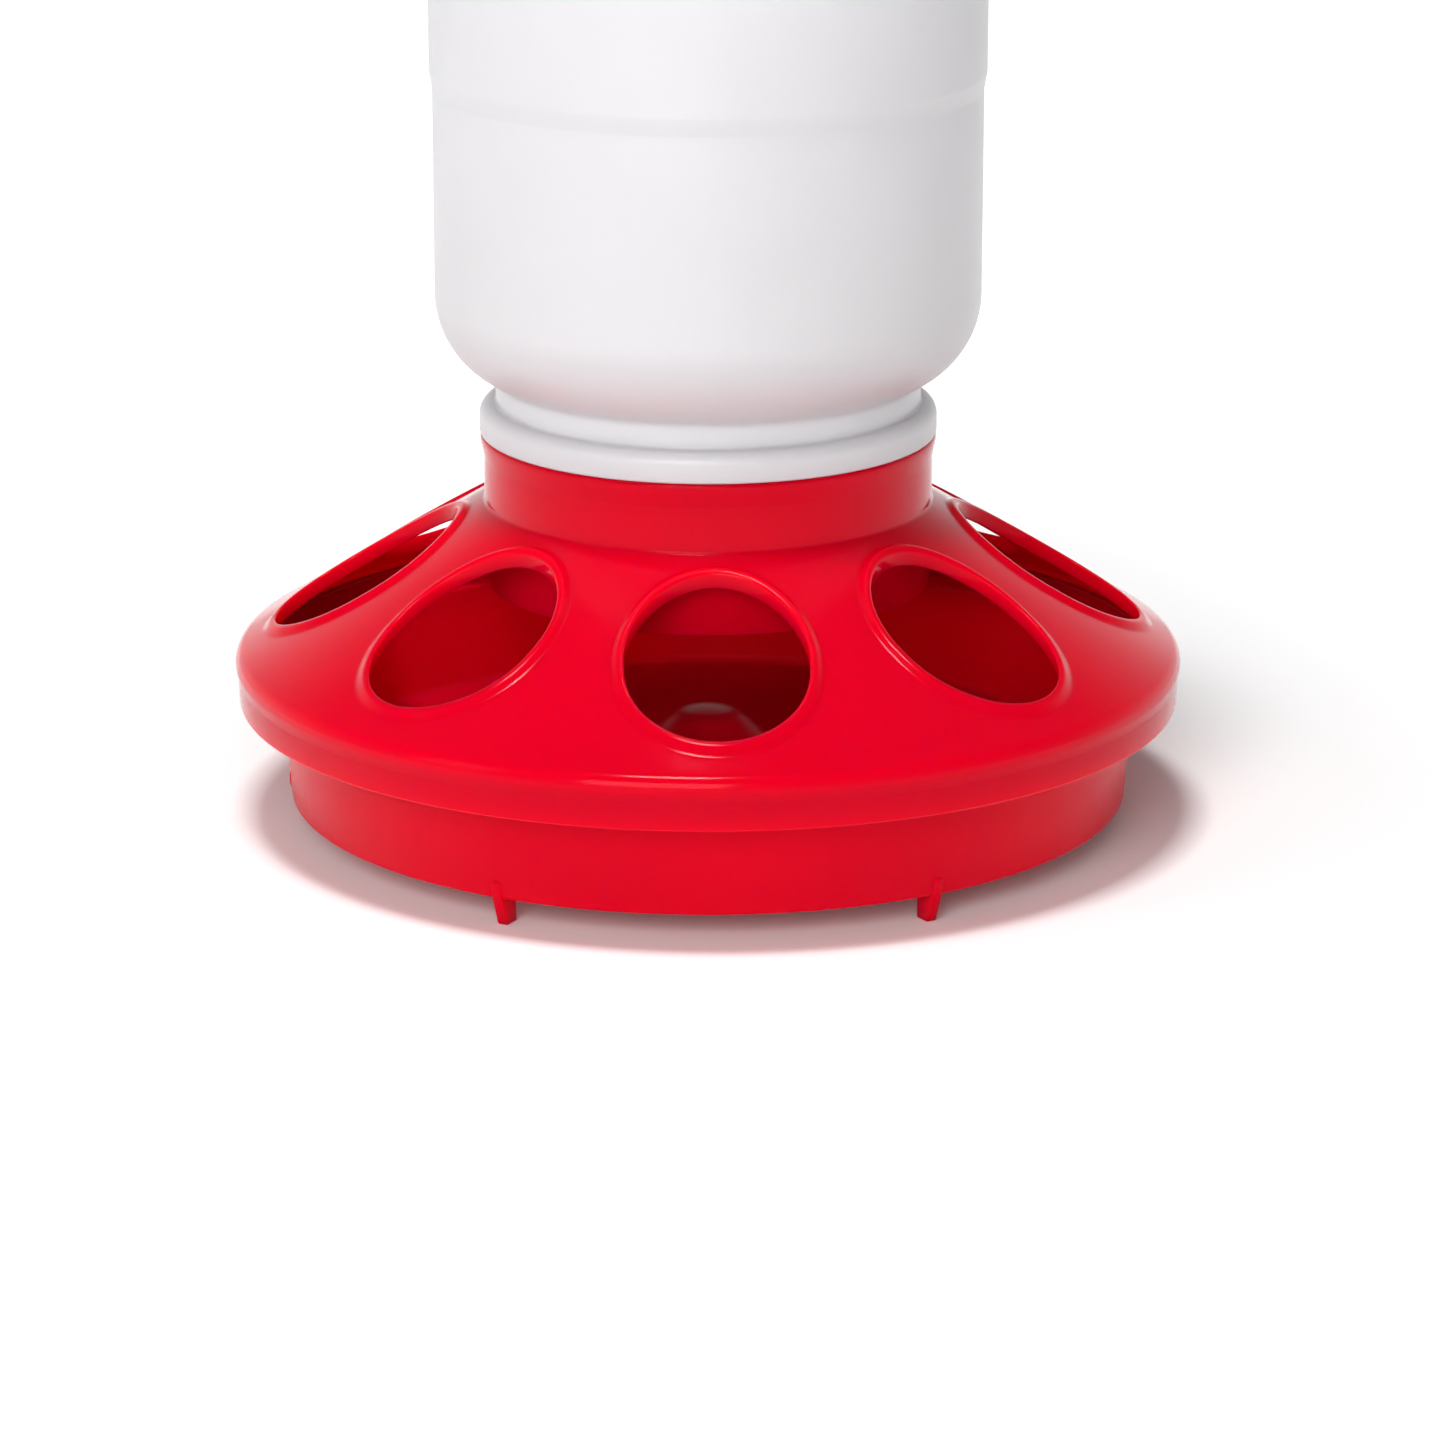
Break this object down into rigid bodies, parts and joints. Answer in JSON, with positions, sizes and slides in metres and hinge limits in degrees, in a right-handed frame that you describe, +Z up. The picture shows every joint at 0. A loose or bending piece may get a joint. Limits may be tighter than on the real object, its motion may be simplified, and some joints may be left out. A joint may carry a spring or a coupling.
{
  "type": "gravity poultry feeder",
  "caption": "Round red gravity feeder base with round eating ports in a coned cover over a pan, and an inverted white jar screwed into its collar.",
  "frame": {"origin": "on the axis of the feeder, at the level of the undersides of the feet", "axes": "+Z up along the axis of the pan, cover and jar; one port faces -Y, and +X is to its right seen from there"},
  "size_m": [0.1652, 0.1652, 0.226],
  "materials": {
    "pan_plastic": "glossy moulded red",
    "cover_plastic": "glossy moulded red",
    "jar_plastic": "soft satin, milky translucent white"
  },
  "bodies": {
    "pan": {"feed_pan": "pan_plastic"},
    "cover": {"feeder_cover": "cover_plastic"},
    "jar": {"jar": "jar_plastic"}
  },
  "joints": [
    {"name": "cover_turn", "type": "hinge", "parent": "pan", "child": "cover", "pos_m": [0, 0, 0.03], "axis": [0, 0, -1], "range_deg": [0, 450]},
    {"name": "jar_lift", "type": "slide", "parent": "pan", "child": "jar", "axis": [0, 0, 1], "range_m": [0, 0.00794]}
  ],
  "couplings": [
    {"joint": "jar_lift", "follows": "cover_turn", "m_per_rad": 0.0010106}
  ]
}
